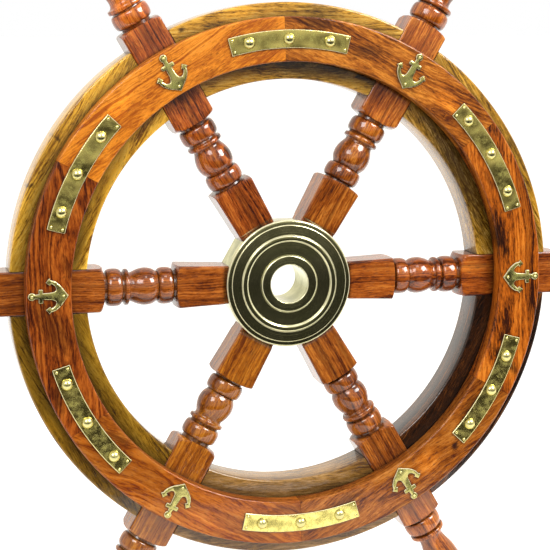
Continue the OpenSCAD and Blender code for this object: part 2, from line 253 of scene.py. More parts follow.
class Graph:
    """The node tree of a material or a world, with short calls for its nodes."""

    def __init__(self, owner, shader="Principled BSDF"):
        self.owner = owner
        self.owner.use_nodes = True
        self.tree = self.owner.node_tree
        self.shader = self.tree.nodes[shader]

    def feed(self, socket, value):
        """Links a socket, or sets a plain value."""
        if isinstance(value, bpy.types.NodeSocket):
            self.tree.links.new(value, socket)
        else:
            socket.default_value = value

    def node(self, kind, inputs=None, **settings):
        """A node of a kind such as TexNoise, with its inputs by name or number."""
        node = self.tree.nodes.new("ShaderNode" + kind)
        for key, value in settings.items():
            setattr(node, key, value)
        for key, value in (inputs or {}).items():
            self.feed(node.inputs[key], value)
        return node

    def math(self, operation, *values):
        """The result of a Math node."""
        return self.node("Math", dict(enumerate(values)), operation=operation).outputs[0]

    def vector(self, operation, *values):
        """The result of a Vector Math node."""
        node = self.node("VectorMath", dict(enumerate(values)), operation=operation)
        return node.outputs["Value" if operation == "LENGTH" else "Vector"]

    def noise(self, place, waves, detail=2, roughness=0.5, result="Fac"):
        """Noise with so many waves a unit along X, Y and Z, as a number or as a colour."""
        inputs = {"Vector": self.vector("MULTIPLY", place, waves), "Scale": 1.0,
                  "Detail": detail, "Roughness": roughness}
        return self.node("TexNoise", inputs).outputs[result]

    def noise_along(self, value, waves, start, detail):
        """Noise along one measure, with so many waves a unit."""
        inputs = {"W": self.math("ADD", self.math("MULTIPLY", value, waves), start),
                  "Scale": 1.0, "Detail": detail}
        return self.node("TexNoise", inputs, noise_dimensions="1D").outputs["Fac"]

    def step(self, value, low, high, to_low=0, to_high=1):
        """A smooth step between two values."""
        inputs = {"Value": value, "From Min": low, "From Max": high,
                  "To Min": to_low, "To Max": to_high}
        return self.node("MapRange", inputs, interpolation_type="SMOOTHSTEP").outputs[0]

    def ramp(self, value, stops):
        """A colour ramp from (position, colour) stops."""
        node = self.node("ValToRGB", {0: value})
        elements = node.color_ramp.elements
        while len(elements) < len(stops):
            elements.new(0.5)
        for element, (position, colour) in zip(elements, stops):
            element.position = position
            element.color = colour
        return node.outputs["Color"]

    def mix(self, factor, first, second, blend="MIX"):
        """Two colours mixed; 0, 6 and 7 are the node's sockets for colours."""
        inputs = {0: factor, 6: first, 7: second}
        return self.node("Mix", inputs, data_type="RGBA", blend_type=blend).outputs[2]

    def shade(self, colour, factor):
        """A colour darkened by a factor."""
        grey = self.node("CombineColor", {0: factor, 1: factor, 2: factor}).outputs[0]
        return self.mix(1.0, colour, grey, "MULTIPLY")

    def separate(self, vector, axis):
        """The X, Y or Z of a vector."""
        return self.node("SeparateXYZ", {0: vector}).outputs[axis]

    def coordinates(self, kind):
        """Texture coordinates such as Object or Normal."""
        return self.node("TexCoord").outputs[kind]

    def bump(self, height, distance, strength, normal=None):
        """A bump, with its depth in metres."""
        inputs = {"Height": height, "Distance": distance, "Strength": strength}
        if normal is not None:
            inputs["Normal"] = normal
        return self.node("Bump", inputs).outputs[0]

    def grain_space(self, place):
        """Object coordinates in millimetres, seen from a piece's own place."""
        inverse = place.inverted()
        inputs = {"Vector": self.coordinates("Object"), "Scale": (1 / MM,) * 3}
        mapping = self.node("Mapping", inputs)
        mapping.inputs["Rotation"].default_value = inverse.to_euler()
        mapping.inputs["Location"].default_value = inverse.translation / MM
        return mapping.outputs[0]

    def set(self, **values):
        """Feeds the shader's inputs; an underscore stands for a space."""
        for key, value in values.items():
            self.feed(self.shader.inputs[key.replace("_", " ")], value)


def new_graph(name):
    """The graph of a new material."""
    return Graph(bpy.data.materials.new(name))


def along_radius(angle, radius=0, front=0):
    """A place in the part's frame whose X points away from the hub at an angle on the wheel."""
    shift = Matrix.Translation(Vector((radius, 0, front)) * MM)
    return STAND @ Matrix.Rotation(math.radians(angle), 4, "Z") @ shift


def along_rim(angle, radius=0, front=0):
    """A place in the part's frame whose X runs along the rim at an angle on the wheel."""
    return along_radius(angle, radius, front) @ Matrix.Rotation(math.pi / 2, 4, "Z")


def painted_crevice_shade(graph, reach, darkest):
    """Painted shade: a factor that is 1 on open faces and falls to darkest in corners narrower than
    reach.
    """
    hidden = graph.node("AmbientOcclusion", {"Distance": reach * MM}, samples=6)
    return graph.step(hidden.outputs["AO"], 0.35, 0.95, darkest, 1)


def squareness(graph):
    """A factor that is 1 on faces square to the wheel's axis and 0 on walls along it."""
    return graph.math("ABSOLUTE", graph.separate(graph.coordinates("Normal"), "Y"))


def slanted(graph):
    """A mask that is 1 on the narrow faces between the front of a piece and its sides."""
    square = squareness(graph)
    off_wall = graph.step(square, 0.1, 0.35)
    off_front = graph.step(square, 0.84, 0.97, 1, 0)
    return graph.math("MULTIPLY", off_wall, off_front)


# How far a mark reaches through the wood, and what a pale mark multiplies the colour by; the marks
# are the wood's own and also painted shadow and painted light
STAIN_AND_SHADE_DEPTH = 45
PALER = (2.2, 2.2, 2.0, 1)


def stain_or_painted_light_mask(graph, here, place, spot, blur):
    """A mask that is 1 inside a long soft patch, used for the wood's own dark and pale marks and
    for painted shadow and painted light; for its five numbers see the lists of marks.
    """
    angle, radius, length, width, tilt = spot
    middle = place.inverted() @ along_radius(angle, radius, FACING_FACE).translation / MM
    along = place.inverted() @ along_radius(angle + 90 + tilt)
    mapping = graph.node("Mapping", {"Vector": here, "Location": middle}, vector_type="TEXTURE")
    mapping.inputs["Rotation"].default_value = (0, 0, along.to_euler().z)
    mapping.inputs["Scale"].default_value = (length / 2, width / 2, STAIN_AND_SHADE_DEPTH)
    away = graph.vector("LENGTH", mapping.outputs[0])
    return graph.step(graph.math("ADD", away, blur), 0.3, 1.2, 1, 0)


def swing(graph, value, amount, base):
    """A number moved up and down by noise, whose middle is a half."""
    return graph.math("MULTIPLY_ADD", graph.math("SUBTRACT", value, 0.5), amount, base)


class Grain:
    """The figure of one piece of wood: year rings about a pith line, bent a little, and fibres."""

    def __init__(self, graph, place, seed, pith, swirl):
        self.graph = graph
        self.place = place
        self.seed = seed
        here = graph.grain_space(place)
        self.shifted = graph.vector("ADD", here, (seed * 173.0, seed * 61.0, seed * 97.0))
        drift = graph.noise(self.shifted, (0.011, 0.026, 0.026), 3, 0.45, result="Color")
        drift = graph.vector("SUBTRACT", drift, (0.5,) * 3)
        drift = graph.vector("MULTIPLY", drift, (0, 2 * swirl, 2 * swirl))
        self.bent = graph.vector("ADD", here, drift)
        across = graph.vector("MULTIPLY", graph.vector("ADD", self.bent, (0, *pith)), (0, 1, 1))
        self.depth = graph.vector("LENGTH", across)
        threads = graph.vector("MULTIPLY", self.bent, (0.12, 0.85, 0.85))
        threads = graph.vector("ADD", threads, (seed, seed, 0))
        self.fibre = graph.noise(threads, (1, 1, 1), detail=4, roughness=0.75)
        self.cloud = graph.noise(self.shifted, (0.025, 0.06, 0.06), detail=4, roughness=0.6)
        pores = graph.noise(self.bent, (0.2, 1.1, 1.1), detail=2, roughness=0.6)
        self.pores = graph.step(pores, 0.57, 0.68)

    def tone(self, gap, rings, lined):
        """How light the wood is, from 0 to 1; each ring of the tree is gap wide."""
        graph = self.graph
        late = graph.math("POWER", graph.math("FRACT", graph.math("DIVIDE", self.depth, gap)), 5.0)
        lines = graph.noise_along(self.depth, 0.75, self.seed * 5.7, 2)
        zone = graph.noise_along(self.depth, 0.14, self.seed * 7.3, 2)
        tone = swing(graph, self.fibre, 1.9, 0.5)
        tone = swing(graph, lines, lined, tone)
        tone = swing(graph, zone, 0.9, tone)
        tone = swing(graph, self.cloud, 1.4, tone)
        return graph.math("MULTIPLY_ADD", late, -rings, tone)

    def streaks(self, strength):
        """A mask of long dark streaks."""
        graph = self.graph
        streak = graph.noise_along(self.depth, 0.08, self.seed * 3.1, 4)
        streak = swing(graph, self.cloud, 0.35, streak)
        streak = swing(graph, self.fibre, 0.5, streak)
        return graph.step(streak, 0.57, 0.68, 0, strength)

    def with_stains_and_painted_light(self, colour, deep, stains_and_painted_light):
        """The colour with its dark and pale marks, which include painted shadow and painted light.
        """
        graph = self.graph
        for *spot, strength in stains_and_painted_light:
            blur = swing(graph, self.fibre, 1.8, 0)
            mask = stain_or_painted_light_mask(graph, self.bent, self.place, spot, blur)
            marked = deep if strength > 0 else graph.mix(1.0, colour, PALER, "MULTIPLY")
            colour = graph.mix(graph.math("MULTIPLY", mask, abs(strength)), colour, marked)
        return colour


# Between these places on Y, in metres, the felloes' walls grow to their full gloss
GLOSS_START = -0.019
GLOSS_END = 0.008


def wall_weight(graph, face_gloss, wall_gloss):
    """A coat weight that grows along a piece's walls from the front towards the back."""
    behind = graph.separate(graph.coordinates("Object"), "Y")
    wall = graph.step(behind, GLOSS_START, GLOSS_END, face_gloss, wall_gloss)
    return graph.step(squareness(graph), 0.3, 0.7, wall, face_gloss)


def wood(name, place, tones, seed, pith=(30, -60), gap=6, swirl=8, streaks=0.35, rings=0.3,
         lined=1.0, gloss=1.0, wall_gloss=None, coat=1.55, shadow=(6, 0.25), stains_and_painted_light=()):
    """Varnished wood whose grain runs along the place's X; tones run from dark to light."""
    graph = new_graph(name)
    dark, middle, light = (srgb(*tone) for tone in tones)
    deep = [value * 0.3 for value in dark[:3]] + [1]
    grain = Grain(graph, place, seed, pith, swirl)
    tone = grain.tone(gap, rings, lined)
    colour = graph.ramp(tone, [(0.05, dark), (0.5, middle), (0.95, light)])
    colour = graph.mix(grain.streaks(streaks), colour, deep)
    colour = grain.with_stains_and_painted_light(colour, deep, stains_and_painted_light)
    colour = graph.mix(graph.math("MULTIPLY", grain.pores, 0.45), colour, deep)

    relief = graph.math("MULTIPLY_ADD", grain.pores, -0.8, grain.fibre)
    wave = graph.noise(grain.shifted, (0.08, 0.14, 0.14), detail=2)
    graph.set(
        # The base colour carries painted shade, darker in corners and narrow gaps.
        Base_Color=graph.shade(colour, painted_crevice_shade(graph, *shadow)),
        Roughness=graph.step(grain.fibre, 0.3, 0.7, 0.6, 0.48),
        Normal=graph.bump(relief, 0.00025, 0.6),
        Coat_Normal=graph.bump(relief, 0.0001, 0.25, graph.bump(wave, 0.0006, 0.25)),
        Coat_Weight=wall_weight(graph, gloss, wall_gloss) if wall_gloss else gloss,
        Coat_Roughness=0.08,
        Coat_IOR=coat,
        Specular_IOR_Level=0.06,
    )
    return graph.owner


# A painted highlight on the edges, clouds of dull brass, and how many scratches a millimetre
# polishing leaves
EDGE_HIGHLIGHT_TINT = (255, 248, 214)
CLOUD_TINT = (150, 152, 76)
POLISH_MARKS = (1.5, 1.5, 1.5)


def darker(colour, red, green, blue):
    """A colour with its red, green and blue scaled."""
    return [colour[0] * red, colour[1] * green, colour[2] * blue, 1]


def brass(name, tint, roughness, tarnish, marks=POLISH_MARKS, place=Matrix.Identity(4),
          dented=0.6, clouds_and_edge_highlight=0.0):
    """Polished brass with fine scratches, shallow dents, a patchy tarnish and painted shade in its
    corners; trim can also get dull clouds and a painted highlight on its edges.
    """
    graph = new_graph(name)
    here = graph.grain_space(place)
    patches = graph.noise(here, (0.14, 0.2, 0.14), detail=5, roughness=0.7)
    dull = graph.step(patches, 0.34, 0.8, 0, tarnish)
    clean = srgb(*tint)
    colour = graph.mix(dull, clean, darker(clean, 0.3, 0.33, 0.18))
    # Painted shade: the colour darkens in corners and narrow gaps.
    colour = graph.shade(colour, painted_crevice_shade(graph, 3, 0.35))
    metallic = 1.0
    if clouds_and_edge_highlight:
        # Painted highlight: the narrow faces at the edges get a pale, less metallic colour, so they
        # show as bright lines; the clouds are dull tarnish.
        edge = graph.math("MULTIPLY", slanted(graph), clouds_and_edge_highlight)
        clouds = graph.math("MULTIPLY", graph.step(patches, 0.42, 0.7), 0.65 * clouds_and_edge_highlight)
        colour = graph.mix(clouds, colour, srgb(*CLOUD_TINT))
        colour = graph.mix(edge, colour, srgb(*EDGE_HIGHLIGHT_TINT))
        metallic = graph.math("SUBTRACT", 1.0, graph.math("MAXIMUM", edge, clouds))
    scratches = graph.noise(here, marks, detail=6, roughness=0.75)
    uneven = graph.math("ADD", scratches, dull)
    dents = graph.bump(graph.noise(here, (0.04, 0.04, 0.04), detail=1), 0.003, dented)
    graph.set(
        Base_Color=colour,
        Metallic=metallic,
        Roughness=graph.step(uneven, 0.3, 1.1, roughness, roughness + 0.12),
        Normal=graph.bump(scratches, 0.00005, 0.4, dents),
    )
    return graph.owner


def turned_brass(name, tint, roughness):
    """Brass finished on a lathe: faint rings about the wheel's axis and a painted highlight on its
    edges.
    """
    graph = new_graph(name)
    here = graph.grain_space(along_radius(0))
    clean = srgb(*tint)
    radius = graph.vector("LENGTH", graph.vector("MULTIPLY", here, (1, 1, 0)))
    rings = graph.noise_along(radius, 2.2, 0, 4)
    patches = graph.noise(here, (0.05, 0.05, 0.05), detail=4, roughness=0.6)
    specks = graph.noise(here, (0.9, 0.9, 0.9), detail=5, roughness=0.8)
    # Painted highlight: the narrow faces at the edges get a pale, less metallic colour, so the
    # rings show bright lines all round.
    edge = graph.math("MULTIPLY", slanted(graph), 0.6)
    tarnish = graph.step(patches, 0.3, 0.7, 0, 0.8)
    colour = graph.mix(tarnish, clean, darker(clean, 0.4, 0.42, 0.32))
    uneven = graph.math("ADD", specks, patches)
    relief = graph.math("ADD", rings, graph.math("MULTIPLY", specks, 0.4))
    graph.set(
        Base_Color=graph.mix(edge, colour, srgb(*EDGE_HIGHLIGHT_TINT)),
        Metallic=graph.math("SUBTRACT", 1.0, edge),
        Roughness=graph.step(uneven, 0.8, 1.4, roughness, roughness + 0.1),
        Normal=graph.bump(relief, 0.00008, 0.4),
    )
    return graph.owner


# ---------- spokes ----------

# Places along a spoke, measured from the wheel's axis
TENON_START = 27
SHOULDER = 89.5
RIM_START = 146
RIM_END = 233
GRIP_MIDDLE = 281

# Half widths of the tenon and of the hub block, the radius of the blocks' long edges, and radii
# of the thin turned core and of the grip
TENON_HALF = 10
HUB_HALF = 15
CORNER_R = 1.3
CORE_R = 11.5
GRIP_R = 14.5

# The half width and half depth of a station that is round
ROUND = None


def box_reach(turn, half_w, half_d):
    """How far a rounded rectangle reaches from its middle in one direction."""
    c, s = abs(math.cos(turn)), abs(math.sin(turn))
    reach = min(half_w / c if c > 1e-6 else 1e6, half_d / s if s > 1e-6 else 1e6)
    if reach * c <= half_w - CORNER_R or reach * s <= half_d - CORNER_R:
        return reach
    along = (half_w - CORNER_R) * c + (half_d - CORNER_R) * s
    beside = (half_w - CORNER_R) * s - (half_d - CORNER_R) * c
    return along + math.sqrt(max(0, CORNER_R ** 2 - beside ** 2))


def pommel(at, length, toward_tip, half_w, half_d):
    """Stations of a block's end, whose corners the lathe has rounded off."""
    corner = math.hypot(half_w, half_d)
    stations = []
    steps = 8
    for i in range(steps + 1):
        turn = math.radians(90 * i / steps)
        x = at + (length if toward_tip else -length) * (1 - math.sin(turn))
        stations.append((x, CORE_R + 1 + (corner - CORE_R - 1) * math.cos(turn), half_w, half_d))
    return stations[::-1] if toward_tip else stations


def bead(start, end, radius, fullness):
    """Stations of a rounded bead; fullness is how deep its sides fall away."""
    middle, half = (start + end) / 2, (end - start) / 2
    stations = []
    steps = 14
    for i in range(steps + 1):
        turn = math.pi * i / steps
        side = math.copysign(abs(math.cos(turn)) ** 0.8, math.cos(turn))
        stations.append((middle - half * side, radius - fullness * (1 - math.sin(turn) ** 0.8)))
    return stations


def turned(points):
    """Round stations from (place, radius) points."""
    return [(x, r, ROUND, ROUND) for x, r in points]


def baluster():
    """The turning between the hub block and the rim block: (place, radius) points."""
    return (
        [(SHOULDER, CORE_R + 0.3), (SHOULDER + 0.9, CORE_R + 0.2)]
        + bead(91, 103, 14.6, 3.2)
        + [(103.6, 11.9)]
        + smooth_run([(104.2, 12.1), (108, 14.1), (113.5, 14.75), (119, 13.6), (123.6, 11.6),
                      (125.4, 11.6)])
        + [(125.6, 11.9)]
        + bead(126, 129.6, 14.3, 1.6)
        + [(130.5, 11.9)]
        + bead(131.5, 143.8, 14.9, 3.2)
        + [(144.6, 11.8), (RIM_START, CORE_R + 0.3)]
    )


def handle():
    """The handle outside the rim: (place, radius) points up to the tip."""
    tip_length = TIP_R - GRIP_MIDDLE
    turns = [math.radians(degrees) for degrees in range(0, 86, 5)]
    return (
        [(RIM_END, CORE_R + 0.4), (RIM_END + 1.2, CORE_R + 0.6)]
        + bead(235, 247, 15.5, 3.2)
        + [(247.8, 12.2)]
        + bead(248.4, 252, 14.8, 1.5)
        + smooth_run([(252.4, 12.2), (254, 10.8), (257.5, 10.3), (263, 11.2), (272, 13.6),
                      (GRIP_MIDDLE, GRIP_R)])
        + [(GRIP_MIDDLE + tip_length * math.sin(t), GRIP_R * math.cos(t) ** 0.9) for t in turns]
        + [(TIP_R, 0.4)]
    )


def spoke_stations():
    """Every station of a spoke outside the hub: place, lathe radius, half width, half depth."""
    block_end = (BLOCK_HALF - 0.5, FELLOE_FACE)
    hub_corner = math.hypot(*block_end)
    return (
        [(50.6, hub_corner, HUB_HALF, DRUM_FACE),
         (51.4, hub_corner, HUB_HALF + 0.1, DRUM_FACE + 0.7),
         (53.2, hub_corner, HUB_HALF + 0.2, DRUM_FACE + 1.1),
         (70, hub_corner, HUB_HALF + 0.8, 14.5)]
        + pommel(SHOULDER, 3.4, False, *block_end)
        + turned(baluster())
        + pommel(RIM_START, 6.5, True, BLOCK_HALF, FELLOE_FACE)
        + [(x, BLOCK_HALF * 2, BLOCK_HALF, FELLOE_FACE) for x in (160, 174, 188, 202, 216)]
        + pommel(RIM_END, 5, False, BLOCK_HALF, FELLOE_FACE)
        + turned(handle())
    )


def spoke_turns():
    """Directions round a spoke, closest together at the corners of its blocks."""
    quarter = [0, 7, 14, 21, 28, 33, 36, 37.5, 39, 40, 41, 42, 43, 44, 45.5, 47, 49, 53, 59, 66,
               74, 82]
    mirrored = [90, *quarter[:0:-1]]
    degrees = (
        quarter
        + [180 - q for q in mirrored]
        + [180 + q for q in quarter]
        + [360 - q for q in mirrored]
    )
    return [math.radians(turn) for turn in degrees]


def make_spoke(k):
    """One spoke: tenon, hub block, turning, rim block and handle in one piece of wood."""
    turns = spoke_turns()
    rings = []
    for half_w, x in ((TENON_HALF, TENON_START), (TENON_HALF, DRUM_R), (HUB_HALF, DRUM_R)):
        ring = []
        for turn in turns:
            reach = box_reach(turn, half_w, DRUM_FACE)
            y, z = reach * math.cos(turn), reach * math.sin(turn)
            ring.append((x if x == TENON_START else math.sqrt(DRUM_R ** 2 - y ** 2), y, z))
        rings.append(ring)
    for x, lathe_r, half_w, half_d in spoke_stations():
        ring = []
        for turn in turns:
            reach = lathe_r if half_w is ROUND else min(lathe_r, box_reach(turn, half_w, half_d))
            ring.append((x, reach * math.cos(turn), reach * math.sin(turn)))
        rings.append(ring)
    spin = Matrix.Rotation(math.radians(spoke_angle(k)), 4, "Z")
    bm = bmesh.new()
    skin(bm, [[spin @ Vector(point) for point in ring] for ring in rings])
    return make(f"turned_spoke_{k}", bm)


# ---------- rim ----------

# Radii of the rounded edges of felloes and facings
FELLOE_EDGE = 1.6
FACING_EDGE = 1.5


def arc_solid(bm, section, start, end, ease, step=1.0, shape=None):
    """A section swept round the wheel between two end angles, which may depend on the radius."""
    radii = [r for r, z in section]
    heights = [z for r, z in section]
    middle_r, middle_z = (max(radii) + min(radii)) / 2, (max(heights) + min(heights)) / 2
    shrink_r = 1 - 2 * ease / (max(radii) - min(radii))
    shrink_z = 1 - 2 * ease / (max(heights) - min(heights))
    small = [(middle_r + (r - middle_r) * shrink_r, middle_z + (z - middle_z) * shrink_z)
             for r, z in section]
    eased = math.degrees(ease / middle_r) / (end(middle_r) - start(middle_r))
    count = round((end(middle_r) - start(middle_r)) / step)
    parts = [(0, small), (eased, section)]
    parts += [(i / count, section) for i in range(1, count)]
    parts += [(1 - eased, section), (1, small)]
    rings = []
    for part, outline in parts:
        ring = []
        for r, z in outline:
            turn = math.radians(start(r) + (end(r) - start(r)) * part)
            if shape:
                r, z = shape(r, z, turn)
            ring.append((r * math.cos(turn), r * math.sin(turn), z))
        rings.append(ring)
    skin(bm, rings)


def block_section(inner, outer, back, front, radius):
    """A rectangle between two radii and two heights, with rounded corners."""
    corners = [(inner, back), (outer, back), (outer, front), (inner, front)]
    return rounded(corners, radius)


def hand_shaped(amount, seed):
    """A shape function: the outermost edge wanders inwards a little, as a hand-sawn edge does."""
    def shape(r, z, turn):
        spot = Vector((math.cos(turn), math.sin(turn), seed)) * 3
        wander = amount * (0.5 + 0.5 * noise.noise(spot))
        outward = max(0, (r - FELLOE_INNER_R) / (FELLOE_R - FELLOE_INNER_R) - 0.5) * 2
        return r - wander * outward, z
    return shape


def make_felloe(k):
    """One felloe between the blocks of two spokes."""
    bm = bmesh.new()
    section = block_section(FELLOE_INNER_R, FELLOE_R, -FELLOE_FACE, FELLOE_FACE, FELLOE_EDGE)
    first = spoke_angle(k)
    arc_solid(
        bm, section,
        lambda r: first + math.degrees(math.asin(BLOCK_HALF / r)),
        lambda r: first + 60 - math.degrees(math.asin(BLOCK_HALF / r)),
        ease=0.35, shape=hand_shaped(0.9, k),
    )
    return make(f"sawn_felloe_{k}", bm)


def facing_ends(k):
    """The two joint angles of facing k."""
    start = FACING_JOINTS[k - 2] - (360 if k == 1 else 0)
    return start, FACING_JOINTS[k - 1]


def make_facing(k, front):
    """One facing segment between its butt joints, on the front or the back of the felloes."""
    start, end = facing_ends(k)
    low, high = (FELLOE_FACE, FACING_FACE) if front else (-FACING_FACE, -FELLOE_FACE)
    bm = bmesh.new()
    section = block_section(FACING_INNER_R, FACING_R, low, high, FACING_EDGE)
    arc_solid(bm, section, lambda r: start, lambda r: end, ease=0.2)
    return make(f"{'front' if front else 'back'}_ring_{k}", bm)


# ---------- hub ----------

# Radii of the sleeve and of the hole it passes through
FLANGE_R = 22.5
SLEEVE_R = 19
BORE_R = 15
PLATE_BORE_R = SLEEVE_R + 0.05

# Heights above the wheel's middle plane
PLATE_FACE = DRUM_FACE + 5
FLANGE_SEAT = PLATE_FACE - 0.4
FLANGE_FACE = PLATE_FACE + 1.2
BACK_PLATE_FACE = BACK_SEAT - 1

# The front plate's step and bead
STEP_R = 46.3
BEAD_R = 36.1
BEAD_W = 4.8
BEAD_H = 1.8

# The screws in the back plate: SCREW_R is where they stand
SCREW_R = 38
SCREW_SHANK_R = 2.1
SCREW_HEAD_R = 4.2
SCREW_SLOT = 1.1

HUB_STEPS = 180


def turned_ring(name, corners):
    """A ring about the wheel's axis; each corner of its section has a radius of its own."""
    bm = bmesh.new()
    lathe(bm, rounded(corners, 0, 5), HUB_STEPS)
    return make(name, bm, 50)


def make_front_plate():
    """The front plate: flat rim, low step, raised bead and flat floor."""
    inner, outer = BEAD_R - BEAD_W / 2, BEAD_R + BEAD_W / 2
    corners = [
        (PLATE_BORE_R, DRUM_FACE, 0), (PLATE_R, DRUM_FACE, 0.3),
        (PLATE_R, PLATE_FACE, 1.6), (STEP_R + 0.3, PLATE_FACE, 0.2),
        (STEP_R, PLATE_FACE + 0.8, 0.6),
        (outer, PLATE_FACE + 0.8, 0.5), (outer, PLATE_FACE + BEAD_H, 1.5),
        (inner, PLATE_FACE + BEAD_H, 1.5), (inner, PLATE_FACE, 0.5),
        (FLANGE_R + 0.6, PLATE_FACE, 0.3), (FLANGE_R + 0.3, FLANGE_SEAT, 0),
        (PLATE_BORE_R, FLANGE_SEAT, 0),
    ]
    return turned_ring("turned_front_plate", corners)


def make_sleeve():
    """The flanged tube with the shaft bore."""
    corners = [
        (BORE_R, -BACK_SEAT, 0.5), (SLEEVE_R, -BACK_SEAT, 0.2), (SLEEVE_R, FLANGE_SEAT, 0),
        (FLANGE_R, FLANGE_SEAT, 0), (FLANGE_R, FLANGE_FACE, 1.1), (BORE_R, FLANGE_FACE, 1.0),
    ]
    return turned_ring("turned_sleeve", corners)


def make_back_plate():
    """The back plate, with a raised seat round the sleeve."""
    seat_r = FLANGE_R + 8
    corners = [
        (PLATE_BORE_R, -DRUM_FACE, 0), (PLATE_BORE_R, -BACK_SEAT, 0.3),
        (seat_r, -BACK_SEAT, 0.4), (seat_r + 0.4, -BACK_PLATE_FACE, 0.4),
        (BACK_PLATE_R, -BACK_PLATE_FACE, 0.9), (BACK_PLATE_R, -DRUM_FACE, 0.3),
    ]
    return turned_ring("turned_back_plate", corners)


def drum_sector(bm, start, end):
    """One part of the drum between two spokes, with a flat outer face."""
    middle = math.radians((start + end) / 2)

    def face(r):
        return math.degrees(math.asin(TENON_HALF / max(r, TENON_START)))

    def flat(r, z, turn):
        side = abs(turn - middle)
        reach = DRUM_R / math.cos(side)
        from_spoke = reach * math.sin(math.pi / 6 - side)
        if r > TENON_START and from_spoke > HUB_HALF - 0.3:
            r *= 1 / math.cos(side)
        return r, z

    section = block_section(PLATE_BORE_R, DRUM_R, -DRUM_FACE, DRUM_FACE, 0.3)
    arc_solid(bm, section, lambda r: start + face(r), lambda r: end - face(r), ease=0.1, step=0.5,
              shape=flat)


def make_drum():
    """The drum behind the front plate: six parts between the spokes' tenons."""
    bm = bmesh.new()
    for k in SIXTHS:
        drum_sector(bm, spoke_angle(k), spoke_angle(k + 1))
    return make("hub_drum", bm)


def make_hub_screws():
    """Six slotted screws in the back plate."""
    bm = bmesh.new()
    head_top = BACK_PLATE_FACE + 0.45
    slot_floor = BACK_PLATE_FACE - 0.5
    edge = math.degrees(math.asin(SCREW_SLOT / 2 / SCREW_HEAD_R))
    half_head = arc((0, 0), SCREW_HEAD_R, edge, 180 - edge, 20)
    profile = [(0.2, -DRUM_FACE), (SCREW_SHANK_R, -DRUM_FACE),
               (SCREW_SHANK_R, BACK_PLATE_FACE - 2), (SCREW_HEAD_R - 0.4, slot_floor),
               (0.2, slot_floor + 0.02)]
    for k in SIXTHS:
        place = wheel_place(spoke_angle(k), SCREW_R, 0) @ Matrix.Rotation(math.pi, 4, "X")
        place = place @ Matrix.Rotation(k * 1.9, 4, "Z")
        knob(bm, profile, 32, place)
        for turn in (0, math.pi):
            slab(bm, half_head, slot_floor, head_top, 0.35, place @ Matrix.Rotation(turn, 4, "Z"))
    return make("back_screws", bm)


# ---------- trim ----------

# A strip's rounded edge, the depth of its hammer marks and the parts of its width
STRIP_EDGE = 0.7
STRIP_SINK = 0.16
STRIP_ROWS = 6


def strip_section():
    """A strip's outline, with extra points across its face for the hammer marks."""
    inner, outer = TRIM_R - STRIP_W / 2, TRIM_R + STRIP_W / 2
    outline = block_section(inner, outer, FACING_FACE, STRIP_FACE, STRIP_EDGE)
    top = [point for point in outline if point[1] > STRIP_FACE - 1e-4]
    first, last = top[0], top[-1]
    at = outline.index(first)
    outline[at + 1:at + 1] = [
        (first[0] + (last[0] - first[0]) * i / STRIP_ROWS, STRIP_FACE)
        for i in range(1, STRIP_ROWS)
    ]
    return outline


def hammered(seed):
    """A shape function: the upper side of a strip sinks a little here and there."""
    def shape(r, z, turn):
        spot = Vector((r * math.cos(turn), r * math.sin(turn), seed * 50)) / 16
        sink = STRIP_SINK * (0.5 + 0.5 * noise.noise(spot)) if z > FACING_FACE + 0.5 else 0
        return r, z - sink
    return shape


def make_strip(k):
    """One curved brass strip, slightly uneven as hand-hammered sheet is."""
    start, end = STRIP_MIDDLES[k - 1] - STRIP_SPAN / 2, STRIP_MIDDLES[k - 1] + STRIP_SPAN / 2
    bm = bmesh.new()
    arc_solid(bm, strip_section(), lambda r: start, lambda r: end, ease=0.3, step=0.6,
              shape=hammered(k))
    return make(f"curved_strip_{k}", bm)


# Half of an anchor, from the top of its ring along its right side to its crown
CROWN = (0, -15.2)
ANCHOR_HALF = (
    arc((0, 12.6), 2.9, 90, -58, 12)
    + [(1.9, 7.4), (4.5, 7.5), (5.3, 7), (5.3, 4.6), (4.5, 4.1), (2.4, 4.2)]
    + smooth_run([(2.4, 4.2), (2.8, -2.0), (3.5, -4.6), (5.0, -5.8), (6.8, -5.3), (8.2, -3.9),
                  (9.4, -2)], 3)[1:]
    + [(9.4, -2), (8, -1.2), (10.4, 2.2), (13.7, -0.8), (12.2, -1.6)]
    + smooth_run([(12.2, -1.6), (11.3, -4.8), (9.2, -7.8), (6.4, -10.4), (2.6, -13.1), CROWN],
                 3)[1:]
)
ANCHOR_BEVEL = 0.95


def make_anchor(k):
    """One cast anchor with bevelled edges, its ring at the rim side."""
    left = [(-x, y) for x, y in ANCHOR_HALF[1:]]
    outline = [CROWN, *reversed(ANCHOR_HALF), *left]
    bm = bmesh.new()
    place = wheel_place(spoke_angle(k), TRIM_R, 0) @ Matrix.Rotation(-math.pi / 2, 4, "Z")
    slab(bm, outline, FACING_FACE, STRIP_FACE, ANCHOR_BEVEL, place)
    return make(f"cast_anchor_{k}", bm, 40)


# Head radius, head height, shank radius and length; NAIL_LEAN is in degrees
NAIL = (4.5, 3.19, 1.5, 26)
PIN = (1.2, 0.8, 0.7, 9)
NAIL_LEAN = 4


def dome_profile(radius, height, shank, length):
    """A dome-headed nail from its point to the top of its head."""
    ball = (radius ** 2 + height ** 2) / (2 * height)
    top = math.asin(radius / ball)
    profile = [(0.2, -length), (shank, 4 - length), (shank, 0), (radius - 0.25, 0)]
    turns = [top * (1 - i / 12) for i in range(12)]
    profile += [(ball * math.sin(t), height - ball + ball * math.cos(t)) for t in turns]
    return profile + [(0.15, height)]


